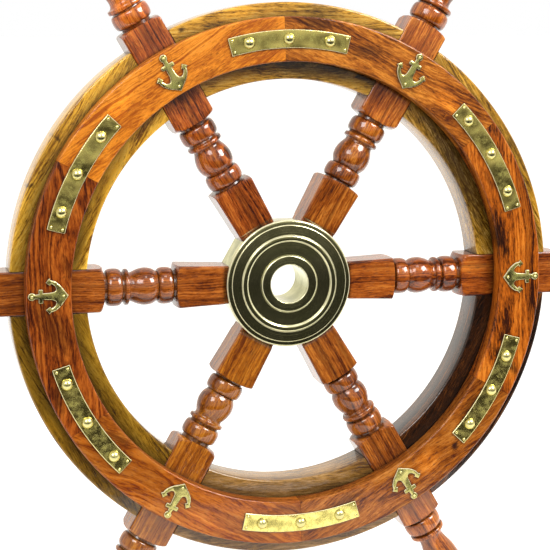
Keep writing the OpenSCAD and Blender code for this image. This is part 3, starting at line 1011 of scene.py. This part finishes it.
def fastener_places(node):
    """Where each solid of a CAD node of small fasteners stands, on the trim's face."""
    bm = bmesh.new()
    bm.from_mesh(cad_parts[node].data)
    bmesh.ops.remove_doubles(bm, verts=bm.verts, dist=1e-6)
    places, seen = [], set()
    for start in bm.verts:
        if start in seen:
            continue
        seen.add(start)
        group, front = [start], [start]
        while front:
            near = {edge.other_vert(vert) for vert in front for edge in vert.link_edges} - seen
            seen |= near
            group += near
            front = list(near)
        x, z = ((min(v.co[axis] for v in group) + max(v.co[axis] for v in group)) / 2 / MM
                for axis in (0, 2))
        places.append(wheel_place(math.degrees(math.atan2(z, x)), math.hypot(x, z), STRIP_FACE))
    bm.free()
    return sorted(places, key=lambda place: (round(place.translation.x, 1), place.translation.y))


def make_nails():
    """The dome-headed nails, driven not quite square."""
    bm = bmesh.new()
    draw = random.Random(4)
    profile = dome_profile(*NAIL)
    for place in fastener_places("strip_nails"):
        forward, sideways = (draw.uniform(-NAIL_LEAN, NAIL_LEAN) for _ in range(2))
        lean = Matrix.Rotation(math.radians(forward), 4, "X")
        lean = lean @ Matrix.Rotation(math.radians(sideways), 4, "Y")
        knob(bm, profile, 40, place @ lean)
    return make("dome_nails", bm)


def make_pins(name, node):
    """Small round-headed pins."""
    bm = bmesh.new()
    for place in fastener_places(node):
        knob(bm, dome_profile(*PIN), 20, place)
    return make(name, bm)


# ---------- the wheel ----------

# The dark, middle and light colour of each piece of wood
FACING_TONES = (
    ((46, 15, 2), (162, 80, 12), (200, 116, 34)),
    ((72, 28, 4), (152, 82, 16), (206, 130, 44)),
    ((150, 72, 10), (206, 122, 28), (226, 142, 46)),
    ((52, 14, 2), (126, 56, 10), (172, 92, 27)),
    ((100, 38, 4), (162, 86, 16), (184, 112, 40)),
    ((68, 22, 3), (138, 74, 14), (172, 108, 42)),
)
FELLOE_TONES = (
    ((84, 52, 4), (196, 144, 34), (222, 180, 92)),
    ((86, 52, 5), (204, 150, 42), (228, 184, 84)),
    ((112, 68, 6), (226, 170, 48), (244, 198, 80)),
    ((60, 38, 4), (140, 102, 18), (172, 132, 38)),
    ((86, 56, 26), (146, 106, 44), (176, 136, 82)),
    ((18, 6, 2), (58, 28, 6), (116, 68, 24)),
)
DOWEL_TONES = ((130, 90, 45), (176, 134, 80), (205, 168, 112))
SPOKE_TONES = (
    ((64, 20, 2), (142, 68, 14), (180, 104, 36)),
    ((66, 24, 2), (134, 65, 10), (188, 116, 40)),
    ((50, 15, 2), (134, 61, 15), (186, 106, 38)),
    ((70, 24, 2), (136, 67, 14), (178, 102, 36)),
    ((90, 38, 3), (148, 82, 14), (184, 118, 34)),
    ((70, 26, 3), (136, 70, 16), (178, 106, 36)),
)

# Marks on the wood: angle and radius on the wheel, length, width, tilt, and strength, which is
# above 0 for a dark mark and below 0 for a light one. Besides the wood's own marks, the lists hold
# painted shadow and painted light, as noted above each list.
FACING_STAINS = (
    ((11, 177, 52, 9, 4, 0.75), (7, 180, 9, 7, 0, 0.8), (-21, 192, 44, 9, 62, 0.85),
     (-6, 203, 34, 5, -4, 0.6), (26, 180, 24, 6, 10, 0.45)),
    ((85, 203, 40, 14, 0, 0.7), (72, 190, 34, 16, 24, 0.55), (60, 180, 26, 8, -12, 0.5),
     (47, 191, 48, 22, 0, -0.5)),
    ((112, 178, 30, 5, 0, 0.35), (104, 186, 4, 3, 0, 0.8), (135, 196, 40, 16, 0, -0.35)),
    ((188, 190, 60, 24, 14, 0.55), (203, 202, 34, 8, -6, 0.6), (174, 178, 30, 7, 16, 0.5),
     (157, 192, 26, 22, 0, -0.45)),
    ((219, 180, 26, 9, 10, 0.6), (238, 193, 4, 3, 0, 0.9), (268, 180, 40, 8, 0, 0.45),
     (248, 196, 40, 16, 0, -0.3)),
    ((284, 184, 40, 14, 8, 0.5), (293, 196, 10, 3, 0, 0.7), (315, 193, 10, 7, 24, 0.9),
     (325, 182, 30, 12, 8, 0.55), (307, 188, 30, 20, 0, -0.5)),
)
# On felloes 1 and 2 the long dark marks near radius 166 to 174 are painted shadow under the front
# facing's inner edge.
FELLOE_STAINS_AND_SHADOWS = (
    ((8, 214, 40, 14, 0, 0.6), (30, 216, 16, 6, 0, 0.5), (48, 212, 40, 16, 0, -0.4),
     (30, 166, 190, 36, 0, 0.85)),
    ((83, 215, 44, 12, 0, 0.6), (113, 216, 7, 6, 0, 0.85), (100, 214, 30, 16, 0, -0.4),
     (84, 170, 100, 26, 0, 0.7), (66, 174, 44, 12, 0, 0.8), (78, 174, 44, 12, 0, 0.8),
     (90, 174, 44, 12, 0, 0.8), (102, 174, 44, 9, 0, 0.7)),
    ((158, 216, 5, 14, 20, 0.8), (147, 216, 4, 13, -8, 0.85), (125, 214, 16, 10, 0, 0.5),
     (170, 214, 30, 16, 0, -0.2), (173, 212, 56, 34, 0, 0.35), (168, 167, 70, 16, 0, 0.5)),
    ((232, 214, 30, 9, 0, 0.6), (190, 212, 26, 9, 0, 0.5), (210, 217, 40, 10, 0, -0.4),
     (210, 166, 150, 14, 0, 0.3)),
    ((250, 214, 30, 9, 0, 0.5), (285, 214, 30, 9, 0, 0.5), (270, 166, 190, 14, 0, 0.4)),
    ((340, 212, 80, 30, 0, 0.7),),
)
# Every mark on the spokes is painted: the dark ones near radius 172 to 174 are painted shadow under
# the front facing, and the pale ones are painted light that brightens parts of the spokes.
SPOKE_PAINTED_LIGHT_AND_SHADE = (
    ((0, 135, 110, 60, 90, -0.35), (0, 174, 16, 60, 90, 0.6)),
    ((60, 166, 80, 60, 90, -0.75), (60, 238, 70, 60, 90, -0.5), (60, 174, 14, 60, 90, 0.6)),
    ((120, 150, 190, 70, 90, -0.35), (120, 250, 56, 60, 90, -0.9), (120, 172, 20, 60, 90, 0.7)),
    (),
    (),
    ((300, 116, 80, 60, 90, -0.2), (300, 250, 70, 60, 90, -0.5)),
)


def make_wood():
    """The spokes, felloes and facings."""
    for k in SIXTHS:
        angle = spoke_angle(k)
        stuff = wood(f"spoke_wood_{k}", along_radius(angle, 150), SPOKE_TONES[k - 1], k,
                     pith=(22 + 9 * k, -38), gap=4, swirl=4, streaks=0.4, rings=0.25,
                     lined=0.6, coat=1.6, shadow=(5, 0.42), stains_and_painted_light=SPOKE_PAINTED_LIGHT_AND_SHADE[k - 1])
        stand_for(make_spoke(k), "spoke_wood", stuff, f"spoke_{k}")

        stuff = wood(f"felloe_wood_{k}", along_rim(angle + 30, 190), FELLOE_TONES[k - 1],
                     k + 10, pith=(-20, -45), gap=5, swirl=6, streaks=0.35, rings=0.2,
                     gloss=0.35, wall_gloss=1.0, coat=2.2, shadow=(16, 0.12),
                     stains_and_painted_light=FELLOE_STAINS_AND_SHADOWS[k - 1])
        stand_for(make_felloe(k), "felloe_wood", stuff, f"felloe_{k}")

        middle = sum(facing_ends(k)) / 2
        stuff = wood(f"front_ring_wood_{k}", along_rim(middle, 190, FACING_FACE),
                     FACING_TONES[k - 1], k + 20, pith=(-18, -30), gap=5.5, swirl=8,
                     streaks=0.3, rings=0.35, gloss=0.5, stains_and_painted_light=FACING_STAINS[k - 1])
        stand_for(make_facing(k, True), "facing_wood", stuff, f"front_facing_{k}")

        stuff = wood(f"back_ring_wood_{k}", along_rim(middle, 190, -FACING_FACE),
                     FACING_TONES[(k + 1) % 6], k + 30, pith=(15, 34), gap=5.5, swirl=8,
                     streaks=0.5, rings=0.45, gloss=0.5)
        stand_for(make_facing(k, False), "facing_wood", stuff, f"back_facing_{k}")

    # The dowels are hidden inside the rim, so the CAD node stays and only gets a material.
    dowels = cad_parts["felloe_dowels"].data
    dowels.materials.clear()
    dowels.materials.append(wood("dowel_wood", along_radius(90, 190), DOWEL_TONES, 41))


# Colours of the clean metal
HUB_TINT = (214, 211, 160)
NAIL_TINT = (226, 218, 148)
TRIM_TINT = (240, 223, 130)
ANCHOR_TINT = (204, 194, 120)


def make_brass():
    """The hub and the trim."""
    hub = turned_brass("hub_brass", HUB_TINT, 0.09)
    stand_for(make_front_plate(), "hub_brass", hub, "hub_front_plate")
    stand_for(make_sleeve(), "hub_brass", hub, "hub_sleeve")
    stand_for(make_back_plate(), "hub_brass", hub, "hub_back_plate")
    stand_for(make_drum(), "hub_brass", hub, "hub_body")

    fasteners = brass("fastener_brass", NAIL_TINT, 0.22, 0.25)
    stand_for(make_hub_screws(), "fastener_brass", fasteners, "hub_screws")
    stand_for(make_nails(), "fastener_brass", fasteners, "strip_nails")
    for name, node in (("strip_corner_pins", "strip_pins"), ("anchor_tack_pins", "anchor_pins")):
        stand_for(make_pins(name, node), "fastener_brass", fasteners, node)

    cast = brass("anchor_brass", ANCHOR_TINT, 0.16, 0.75, dented=0.9, clouds_and_edge_highlight=0.8)
    for k in SIXTHS:
        along = along_radius(STRIP_MIDDLES[k - 1], TRIM_R, FACING_FACE)
        sheet = brass(f"strip_brass_{k}", TRIM_TINT, 0.13, 0.55, marks=(4.0, 0.12, 1.0),
                      place=along, dented=0.6, clouds_and_edge_highlight=0.55)
        stand_for(make_strip(k), "trim_brass", sheet, f"brass_strip_{k}")
        stand_for(make_anchor(k), "trim_brass", cast, f"anchor_{k}")


# ---------- studio ----------

# The photograph's view, in metres and degrees, with the lens in millimetres on a 36 mm sensor
LOOK_AT = Vector((-0.0109, -0.015, 0.0069))
VIEW_AZIMUTH = -15.21
VIEW_ELEVATION = 8.54
VIEW_DISTANCE = 1.3
VIEW_LENS = 107.9
SENSOR = 36

# Each soft box: name, azimuth, elevation, distance, width, height and power
SOFT_BOXES = (
    ("left_soft_box", -34, 36, 2.2, 0.9, 0.9, 22),
    ("right_soft_box", 46, 38, 2.2, 1.0, 0.9, 52),
    ("upper_soft_box", 8, 62, 2.4, 0.45, 0.45, 3),
)

# The room that the wheel reflects: its colour and its strength below and above eye level
WHITE = (1, 1, 1, 1)
WARM_ROOM = (1, 0.955, 0.87, 1)
ROOM_DARK = 0.034
ROOM_LIGHT = 0.7

# The floor: its corners in X and Y, its two greys, and its glow behind the wheel and in front
FLOOR_OUTLINE = ((-0.9, -0.36), (0.9, -0.36), (90, 80), (-90, 80))
FLOOR_DARK = (0.78, 0.78, 0.78, 1)
FLOOR_LIGHT = (0.82, 0.82, 0.82, 1)
FLOOR_GLOW = 0.38
POOL_GLOW = 0.45


def direction(azimuth, elevation):
    """A unit vector that points from the wheel towards the front; azimuth runs towards +X."""
    a, e = math.radians(azimuth), math.radians(elevation)
    return Vector((math.sin(a) * math.cos(e), -math.cos(a) * math.cos(e), math.sin(e)))


def make_camera():
    """The camera, in front of the wheel, a little to its left and above its middle."""
    camera = new_object("camera", bpy.data.cameras.new("camera"))
    camera.data.lens = VIEW_LENS
    camera.data.sensor_width = SENSOR
    camera.data.clip_end = 200
    back = direction(VIEW_AZIMUTH, VIEW_ELEVATION)
    camera.location = LOOK_AT + back * VIEW_DISTANCE
    camera.rotation_mode = "QUATERNION"
    camera.rotation_quaternion = (-back).to_track_quat("-Z", "Y")
    bpy.context.scene.camera = camera


def soft_box(name, azimuth, elevation, distance, width, height, power):
    """A large rectangular light that faces the wheel."""
    light = bpy.data.lights.new(name, "AREA")
    light.shape = "RECTANGLE"
    light.size = width
    light.size_y = height
    light.energy = power
    lamp = new_object(name, light)
    away = direction(azimuth, elevation)
    lamp.location = away * distance
    lamp.rotation_mode = "QUATERNION"
    lamp.rotation_quaternion = away.to_track_quat("Z", "Y")


def make_world():
    """A white background; the wheel itself sees a dim warm room in front, darkest low down."""
    world = bpy.data.worlds.new("studio")
    bpy.context.scene.world = world
    graph = Graph(world, "Background")
    way = graph.coordinates("Generated")
    room = graph.step(graph.separate(way, "Z"), -0.14, 0.05, ROOM_DARK, ROOM_LIGHT)
    depth = graph.separate(way, "Y")
    beside = graph.step(depth, -0.48, -0.15, 0.0, 1.0)
    behind = graph.step(depth, 0.3, 0.8, 0.0, 0.1)
    light = graph.math("MAXIMUM", room, graph.math("ADD", beside, behind))
    seen = graph.node("LightPath").outputs["Is Camera Ray"]
    graph.set(
        Strength=graph.node("MapRange", {"Value": seen, "To Min": light, "To Max": 1.0}).outputs[0],
        Color=graph.mix(seen, WARM_ROOM, WHITE),
    )


def make_floor():
    """A pale floor just under the lowest handles, short and narrow in front and wide behind."""
    bm = bmesh.new()
    level = CAD_BOX[0].z
    bm.faces.new([bm.verts.new((x, y, level)) for x, y in FLOOR_OUTLINE])
    mesh = bpy.data.meshes.new("floor")
    bm.to_mesh(mesh)
    bm.free()
    graph = new_graph("floor_paint")
    here = graph.coordinates("Object")
    speckle = graph.noise(here, (60, 60, 60), 3)
    behind = graph.step(graph.separate(here, "Y"), -0.15, 0.1, 0, FLOOR_GLOW)
    pool = graph.vector("LENGTH", graph.vector("SUBTRACT", here, (0.08, -0.3, level)))
    pool = graph.step(pool, 0.07, 0.14, POOL_GLOW, 0)
    graph.set(
        Base_Color=graph.ramp(speckle, [(0.3, FLOOR_DARK), (0.7, FLOOR_LIGHT)]),
        Roughness=0.8,
        Emission_Color=WHITE,
        Emission_Strength=graph.math("ADD", behind, pool),
    )
    mesh.materials.append(graph.owner)
    floor = new_object("floor", mesh)


def make_studio():
    """Camera, lights, surroundings and floor."""
    make_camera()
    make_world()
    make_floor()
    for settings in SOFT_BOXES:
        soft_box(*settings)
    bpy.context.scene.view_settings.view_transform = "Standard"


make_studio()
make_wood()
make_brass()
